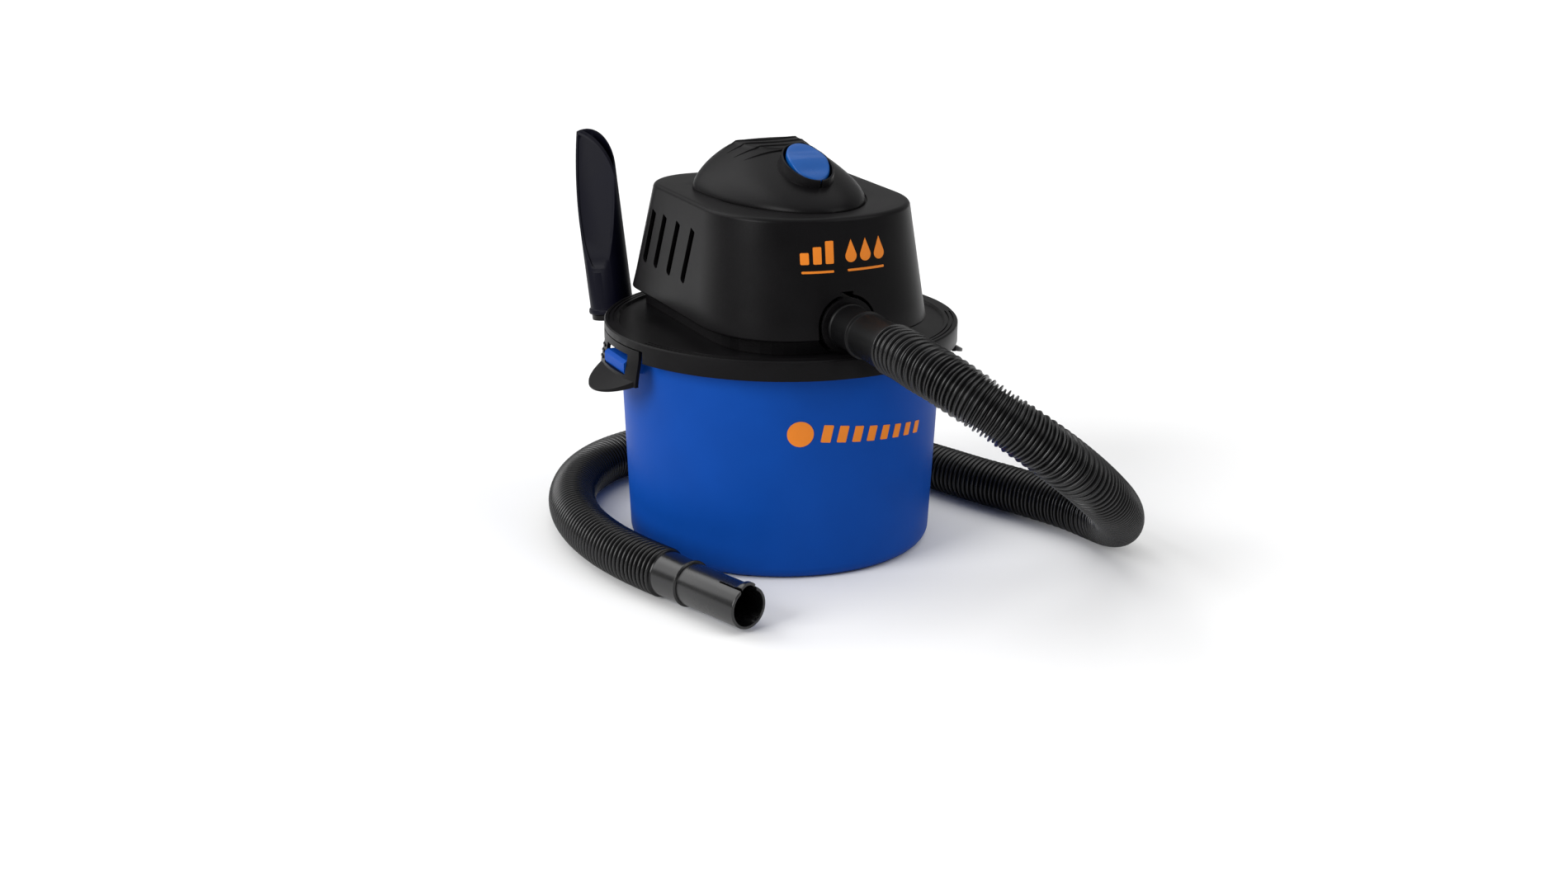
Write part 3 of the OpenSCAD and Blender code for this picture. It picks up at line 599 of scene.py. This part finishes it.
def rocker():
    """Crowned oval rocker with a crest across it and a shallow scoop below the crest."""
    rest = SWITCH @ turned(6, "X")
    half, length = 15.3, 22.6

    def top(x, y):
        u, v = x / 16, y / 23.6
        crest = 4.0 - 2.9 * abs(v) ** 1.1
        scoop = 1.2 * math.exp(-((abs(v) - 0.45) / 0.22) ** 2) * max(0.0, 1 - u * u)
        return crest - scoop - 0.8 * u * u

    def ring(shrink, z=None, below=0.0):
        """Oval at a height, or following the top at a distance below it."""
        out = []
        for a in circle(112):
            x, y = (half - shrink) * math.cos(a), (length - shrink * length / half) * math.sin(a)
            out.append(rest @ (Vector((x, y, top(x, y) - below if z is None else z)) * MM))
        return out

    rings = [ring(5, -3.4), ring(0.3, -3.4), ring(0.1, -1.5), ring(0.1, below=2.2)]
    edge = 1.4
    for a in sweep(0, 90, 5):
        rings.append(ring(0.1 + edge * (1 - math.cos(a)), below=edge * (1 - math.sin(a))))
    for k in range(1, 15):
        rings.append(ring(1.5 + 13.7 * k / 15))
    obj = skin("rocker", rings, cap=True, smooth=50)
    return finish_piece(obj, "rocker", "switch_blue", "switch_rocker")


def ribs(name, lines, radius, body, slot):
    """Fine raised ribs along lines of points in metres, thinning out at both ends."""
    verts, faces, sides, count = [], [], 10, 33
    for line in lines:
        total = sum((b - a).length for a, b in zip(line, line[1:]))
        base = len(verts)
        for k, spot in enumerate(along_curve(line, [total * k / (count - 1) for k in range(count)])):
            verts += round_ring(spot, radius * max(0.15, math.sin(math.pi * k / (count - 1)) ** 0.5), sides)
        for k in range(count - 1):
            a, b = base + k * sides, base + (k + 1) * sides
            faces += [(a + i, a + (i + 1) % sides, b + (i + 1) % sides, b + i) for i in range(sides)]
        faces.append(tuple(base + i for i in range(sides))[::-1])
        faces.append(tuple(base + (count - 1) * sides + i for i in range(sides)))
    return finish_piece(add(name, verts, faces, 60), body, slot)


def grip_ribs(cap):
    """Bowed ribs across the top of the cap, behind the switch, dropped onto the cap's own surface."""
    tree = BVHTree.FromPolygons([v.co for v in cap.data.vertices], [f.vertices for f in cap.data.polygons])
    bow, above, down = 0.0085, 400, Vector((0, 0, -1))
    lines = []
    for middle, half in ((-11.5, 33), (-0.5, 36), (12.5, 36), (25, 34)):
        across = [half * (k / 24 - 1) for k in range(49)]
        hits = [tree.ray_cast(Vector((x, middle + bow * x * x, above)) * MM, down)[0] for x in across]
        lines.append([hit for hit in hits if hit])
    return ribs("grip_ribs", lines, 0.0011, "lid", "black_plastic")


def decal(name, outlines, place, body, slot):
    """Thin raised marks: outlines in (u, v) millimetres laid on a surface that place(u, v, height) gives."""
    proud, sunk, step = 0.3, 0.4, 3.0
    bm = bmesh.new()
    for outline in outlines:
        bm.faces.new([bm.verts.new((u, v, 0)) for u, v in outline])
    bmesh.ops.remove_doubles(bm, verts=bm.verts, dist=1e-4)
    low, high = min(v.co.x for v in bm.verts), max(v.co.x for v in bm.verts)
    u = low + step
    while u < high:
        everything = bm.verts[:] + bm.edges[:] + bm.faces[:]
        bmesh.ops.bisect_plane(bm, geom=everything, plane_co=(u, 0, 0), plane_no=(1, 0, 0))
        u += step
    made = bmesh.ops.extrude_face_region(bm, geom=bm.faces[:], use_keep_orig=True)
    top = {v for v in made["geom"] if isinstance(v, bmesh.types.BMVert)}
    for v in bm.verts:
        v.co = place(v.co.x, v.co.y, proud if v in top else -sunk)
    bmesh.ops.recalc_face_normals(bm, faces=bm.faces)
    mesh = bpy.data.meshes.new(name)
    bm.to_mesh(mesh)
    bm.free()
    obj = bpy.data.objects.new(name, mesh)
    scene.collection.objects.link(obj)
    return finish_piece(obj, body, slot)


def bar(u, v, width, height, slant=0.0, radius=1.0):
    """Bar with rounded corners, leaning to the right by slant."""
    left, right, top = u + slant, u + width + slant, v + height
    return rounded([(u, v), (u + width, v), (right, top), (left, top)], radius, 4)


def drop(u, v, width, height):
    """Solid teardrop standing on its round end."""
    r = width / 2
    return [(u + r * math.cos(a), v + r + r * math.sin(a)) for a in sweep(-200, 20, 28)] + [(u, v + height)]


def head_marks():
    """Plain orange marks where the printing was: rising bars, drops and thin lines."""
    base, line, thin = 240.5, 234.0, 1.7
    shapes = [bar(u, base, 6.2, height) for u, height in ((-34.5, 8.5), (-25.3, 12.5), (-16.1, 16.5))]
    shapes += [drop(u, base, 9, 16.5) for u in (4, 16, 28)]
    shapes += [bar(u, line, width, thin, radius=0.8) for u, width in ((-34, 24), (1, 31))]

    def place(u, v, height):
        slope = head_front(u + 0.5, v) - head_front(u - 0.5, v)
        out = Vector((slope, -1, 0.12)).normalized()
        return (Vector((u, head_front(u, v), v)) + out * height) * MM

    return decal("head_marks", shapes, place, "lid", "orange_print")


def tank_marks():
    """A plain disc and a row of slanted stripes getting shorter to the right."""
    disc = 9.8
    shapes = [[(-38 + disc * math.cos(a), disc * math.sin(a)) for a in circle(48)]]
    for k in range(8):
        tall = 13.5 - 0.6 * k
        shapes.append(bar(-23 + 12.4 * k, -tall / 2, 7.4 - 0.2 * k, tall, 2.6, 0.7))

    def place(u, v, height):
        z = v + 116 - 0.107 * max(0.0, u + 24)
        r = FOOT_R + DRAFT * (z - FOOT_ROUND) / WALL_H + height
        a = math.radians(-90) + u / 121.5
        return Vector((r * math.cos(a), r * math.sin(a), z)) * MM

    return decal("tank_marks", shapes, place, "tank", "orange_print")


# ---------------------------------------------------------------- tank

def tank_shell():
    """Tapered bucket with a rounded foot, a rolled rim and a catch for each latch."""
    turns = sweep(-90, 0, 10)
    middle, inner = FOOT_R - FOOT_ROUND, FOOT_ROUND - FLOOR_THICK
    profile = [(0, 0)]
    profile += [(middle + FOOT_ROUND * math.cos(a), FOOT_ROUND * (1 + math.sin(a))) for a in turns]
    profile += [(FOOT_R + DRAFT * k / 8, FOOT_ROUND + WALL_H * k / 8) for k in range(1, 9)]
    profile += [(125.6, 160.4), (130.6, 162.3), (131.3, 163), (131.5, 164), (131.5, 167.3), (131.2, 167.8),
                (130.8, 168), (123.2, 168), (122.7, 167.8), (122.5, 167.3), (122.5, 160)]
    profile += [(middle + inner * math.cos(a), FOOT_ROUND + inner * math.sin(a)) for a in turns[::-1]]
    profile += [(0, FLOOR_THICK)]
    obj = lathe("tank_shell", profile, Matrix.Identity(4), 256)
    catch = rounded([(123, 147, 0), (137, 147, 0.8), (138.5, 149.5, 0.8), (138.5, 156, 1.2), (136, 158, 0.8),
                     (123, 158, 0)], 0.5)
    for side in (0, 180):
        join(obj, [prism("catch", catch, turned(side, "Z") @ turned(90, "X"), -20, 20)])
    return finish_piece(obj, "tank", "blue_plastic", "tank")


# ---------------------------------------------------------------- latches

def latch(side):
    """Springy tab with a window for the catch, three grip ribs and a scoop to pull; side is -1 or 1."""
    # Foot, height, radius, flare at the foot and wall of the tab; centre and radius of the scoop's lip
    low_z, tall, outer, flare_out, thick = 141, 27.4, 137, 3.6, 2.9
    lip_middle, lip_r = 120, 37

    def at(angle, r, z):
        return Vector((side * r * math.cos(angle), r * math.sin(angle), z)) * MM

    def flare(z):
        return outer + flare_out * smooth_step((167 - z) / 26)

    levels = [low_z + tall * j / 12 for j in range(13)]
    rings = []
    for a in sweep(-15, 15, 40):
        outside = [at(a, flare(z), z) for z in levels]
        rings.append(outside + [at(a, flare(z) - thick, z) for z in levels[::-1]])
    tab = skin("latch_tab", rings, cap=True)
    scoop = []
    for a in sweep(-14.6, 14.6, 44):
        reach = lip_middle * math.cos(a) + math.sqrt(max(0.0, lip_r ** 2 - (lip_middle * math.sin(a)) ** 2))
        start = outer + 0.4
        line = [start + (max(reach, start + 1) - start) * j / 12 for j in range(13)]
        top = [at(a, r, 146 - 0.62 * (r - 139)) for r in line]
        low = [at(a, r, 141.2 - 0.42 * (r - 139)) for r in line]
        scoop.append(top + low[::-1])
    parts = [skin("scoop", scoop, cap=True)]
    rib_profile = ((0, -1), (0, 0.5), (0.5, 0.9), (1.5, 0.9), (2, 0.5), (2, -1))
    for k in range(3):
        z = 148.6 + 4.5 * k
        rib = [[at(a, flare(z + up) + out, z + up) for up, out in rib_profile] for a in sweep(10.9, 14.3, 6)]
        parts.append(skin("rib", rib, cap=True))
    join(tab, parts)
    upright = Matrix(((0, 0, side, 0), (1, 0, 0, 0), (0, 1, 0, 0), (0, 0, 0, 1)))
    opening = rounded([(-21, 147.6), (21, 147.6), (21, 163.2), (-21, 163.2)], 1.2)
    cut(tab, [prism("window", opening, upright, 125, 150)], 28)
    name = "latch_left" if side < 0 else "latch_right"
    tab.name = name + "_tab"
    return finish_piece(tab, name, "black_plastic", name)


# ---------------------------------------------------------------- crevice tool

# The holder's post: local Z up it
POST = turned(125, "Z") @ Matrix.Translation((0.158, 0, 0.158)) @ turned(8, "Y")


def crevice_tool():
    """Round socket running into a thin tip with a sunk sloping face and a curved, slanted mouth."""
    turn = POST @ turned(188, "Z")
    outside, bore, tip = 17.4, 15.7, 147
    outline = [(0, 0), (18.6, 0, 0.8), (19, 1.6, 0.8), (18.6, 3.8, 0.8), (outside, 4.4, 0.5),
               (outside, tip), (0, tip)]
    body = lathe("tool", rounded(outline, 0.01, 4), turn, 112, smooth=28)
    inside = lathe("inside", [(0, -2), (16, -2), (16, 150), (0, 150)], turn, 96)
    pocket = lathe("pocket", [(0, 8), (bore, 8), (bore, 150), (0, 150)], turn, 96)

    def beyond(name, depth, rise):
        """Block in front of the sloping face and its scooped foot, moved into the tool and up it."""
        across = turn @ Matrix(((0, 0, 1, 0), (1, 0, 0, 0), (0, 1, 0, 0), (0, 0, 0, 1)))
        face = [(-17.7, 34), (-17.1, 34.5), (-16.6, 35.5), (-15.9, 37), (-15.1, 39), (-14.4, 42), (-13.9, 45),
                (8.2, 147), (11.0, 160)]
        face = [(y + depth, z + rise) for y, z in face]
        return prism(name, [(-60, face[0][1])] + face + [(-60, face[-1][1])], across, -40, 40)

    def arch(name, shrink):
        """Block past the mouth's curve, which leans forward; shrink moves the curve in."""
        tilt = turn @ Matrix.Translation((0, 0.010, 0.096)) @ turned(90 + 26, "X")
        r = 47 - shrink
        curve = [(-27 + r * math.cos(a), r * math.sin(a)) for a in sweep(-6, 96, 40)]
        return prism(name, [(60, -2)] + curve[1:] + [(-60, r), (-60, 90), (60, 90)], tilt, -60, 60)

    combine(inside, [beyond("wall", 2.4, -2.4)], "DIFFERENCE")
    combine(pocket, [beyond("sunk", 1.1, 1.2)], "INTERSECT")
    cut(pocket, [arch("rim", 1.6)])
    cut(body, [inside, beyond("face", 0, 0), pocket, arch("mouth", 0)], 28)
    soften(body, "edge", 0.0004)
    apply_all(body)
    tidy(body, 35)
    body.name = "crevice_tool_body"
    return finish_piece(body, "tool", "tool_plastic", "crevice_tool")


# ---------------------------------------------------------------- cuffs and hose end

# Frames of the port and of the hose's end, local Z along the hose; bores and radius in millimetres
PORT = Matrix.Translation((0, -0.100, 0.194)) @ turned(90, "X")
END = Matrix.Translation(ROUTE[-1]) @ turned(-73, "Z") @ turned(90, "Y")
CUFF_BORE, FITTING_BORE, FITTING_R = 13.5, 13.6, 15.85


def port_cuff():
    """Swivelling cuff: spigot, shoulder, first taper, thin flange, second sleeve that takes the hose."""
    outline = [(CUFF_BORE, -14), (16.4, -14, 0.6), (16.4, 17.5), (17.3, 18, 0.3), (17.3, 20, 0.6),
               (16.5, 21, 0.5), (15.9, 42), (16.4, 44.2, 0.4), (17.9, 45, 0.4), (17.9, 47, 0.8),
               (16.3, 48, 0.6), (16.5, 60), (17.2, 84), (17.2, 90, 0.4), (CUFF_BORE, 90)]
    obj = lathe("port_cuff_shell", rounded(outline, 0.25, 4), PORT, 112)
    # The cuff at the port takes the darker copy of the cuff plastic, whose darker colour paints shade on it
    finish_piece(obj, "cuff", "cuff_plastic_painted_shade", "port_cuff")
    return obj


def end_cuff():
    """Tapered cuff on the hose's end, with a thin flange where the fitting starts."""
    outline = [(CUFF_BORE, 0), (16.9, 0, 0.4), (16.8, 4), (16.0, 24.4), (16.2, 25.4, 0.3), (17.5, 25.9, 0.35),
               (17.5, 27.3, 0.5), (16.0, 28, 0.1), (CUFF_BORE, 28)]
    obj = lathe("end_cuff", rounded(outline, 0.2, 4), END, 112)
    return finish_piece(obj, "lid", "cuff_plastic", "hose_cuff")


def end_fitting():
    """Tube that tools push onto, with two slots beside a springy tongue on its top."""
    outline = [(FITTING_BORE, 28.05), (FITTING_R, 28.05, 0.2), (FITTING_R, 90, 0.7), (FITTING_BORE, 90, 0.5)]
    obj = lathe("end_fitting", rounded(outline, 0.2, 4), END, 112)
    gap = [(-20, -7.2), (-10, -7.2), (-10, 7.2), (-20, 7.2)]
    cut(obj, [prism("gap", gap, END, 66, 95)], 28)
    return finish_piece(obj, "lid", "cuff_plastic", "hose_fitting")


def lock_tongue():
    """Tongue in the fitting's gap; its free end humps up so that it snaps into a tool's slot."""
    half = math.asin(5.9 / FITTING_R)
    turns = [math.pi - half + 2 * half * i / 16 for i in range(17)]
    rings = []
    for k in range(25):
        z = 65.5 + 24.1 * k / 24
        rise = 3.2 * smooth_step((z - 81) / 6)
        ring = []
        for base, order in ((FITTING_R, turns), (FITTING_BORE, turns[::-1])):
            for a in order:
                middle = max(0.0, math.cos((a - math.pi) / half * math.pi / 2))
                r = base + rise * (0.45 + 0.55 * middle ** 0.8)
                ring.append(END @ (Vector((r * math.cos(a), r * math.sin(a), z)) * MM))
        rings.append(ring)
    obj = skin("lock_tongue", rings, cap=True, smooth=35)
    return finish_piece(obj, "lid", "cuff_plastic")


# ---------------------------------------------------------------- filter cloth

def filter_cloth():
    """Thin cloth drawn up over the cage and gathered under the band, with a loose frill above it."""
    axis = Vector((0, 0.005, 0))
    levels = 34

    def surface(a, t, inner):
        """t runs from the middle of the bottom, 0, over the lower edge, 0.4, to the top edge, 1."""
        folds = 0.5 + 0.5 * math.sin(30 * a + 1.3 * math.sin(5 * a))
        small = 0.5 + 0.5 * math.sin(67 * a + 2.0 * math.sin(3 * a + 7 * t))
        thick = 0.25 if inner else 0.0
        if t < 0.4:
            k = t / 0.4
            r = 45.2 * k
            z = 93.9 + 0.9 * k ** 4 - 0.35 * folds * k * k
            return r - thick * k, z + thick
        k = (t - 0.4) / 0.6
        z = 94.8 + 66.2 * k
        gather = math.exp(-((z - 155) / 5.0) ** 2)
        frill = smooth_step((z - 157) / 5)
        r = 45.3 + (0.7 + 0.35 * k) * folds * (1 - gather) + 0.35 * small * (0.3 + 0.7 * k)
        r += 0.7 * frill * folds - 0.2 * gather
        return min(r, 46.4) - thick, z

    rings = []
    upwards = [k / levels for k in range(1, levels + 1)]
    for t, inner in [(t, False) for t in upwards] + [(t, True) for t in upwards[::-1]]:
        ring = []
        for a in circle(288):
            r, z = surface(a, t, inner)
            ring.append(axis + Vector((r * math.cos(a), r * math.sin(a), z)) * MM)
        rings.append(ring)
    obj = skin("filter_cloth", rings, cap=True, smooth=60)
    return finish_piece(obj, "lid", "filter_cloth", "cloth_filter")


# ---------------------------------------------------------------- making the pieces

head_cover()
cap = motor_cap()
switch_collar()
rocker()
grip_ribs(cap)
head_marks()
tank_marks()
tank_shell()
latch(-1)
latch(1)
crevice_tool()
port_cuff()
end_pieces = [end_cuff(), end_fitting(), lock_tongue()]
cloth = filter_cloth()

for name, obj in nodes.items():
    if obj.hide_render:
        continue
    if not obj.material_slots:
        obj.data.materials.append(None)
    for slot in obj.material_slots:
        slot.material = MATERIALS[SLOTS[name]]
    weld = obj.modifiers.new("weld", "WELD")
    weld.merge_threshold = 1e-6
    flatten = obj.modifiers.new("dissolve", "DECIMATE")
    flatten.decimate_type = "DISSOLVE"
    flatten.angle_limit = math.radians(1.0)
    soften(obj, "edges", 0.0005).harden_normals = True

# ---------------------------------------------------------------- floor and light

# Half of the floor's side, in metres
REACH = 40
corners = [(-REACH, -REACH, 0), (REACH, -REACH, 0), (REACH, REACH, 0), (-REACH, REACH, 0)]
floor = add("floor", corners, [(0, 1, 2, 3)])
pale = bpy.data.materials.new("pale_floor")
pale.use_nodes = True
paint = pale.node_tree.nodes["Principled BSDF"].inputs
paint["Base Color"].default_value = (0.86, 0.86, 0.86, 1)
paint["Roughness"].default_value = 0.6
floor.data.materials.append(pale)


def sun(name, azimuth, elevation, strength, spread):
    """Soft distant light from an azimuth, 0 in front at -Y and 90 on the right at +X."""
    light = bpy.data.objects.new(name, bpy.data.lights.new(name, "SUN"))
    scene.collection.objects.link(light)
    light.data.energy = strength
    light.data.angle = math.radians(spread)
    a, e = math.radians(azimuth), math.radians(elevation)
    towards = Vector((math.sin(a) * math.cos(e), -math.cos(a) * math.cos(e), math.sin(e)))
    light.rotation_euler = towards.to_track_quat("Z", "Y").to_euler()


sun("left", -80, 27, 2.5, 34)
sun("behind", -140, 36, 1.1, 50)
sun("right", 46, 38, 0.9, 40)
sun("top", 170, 76, 1.2, 80)
world = bpy.data.worlds.new("studio")
scene.world = world
world.use_nodes = True
glow = world.node_tree.nodes["Background"].inputs
glow["Color"].default_value = (1, 1, 1, 1)
glow["Strength"].default_value = 0.3
scene.view_settings.view_transform = "Standard"
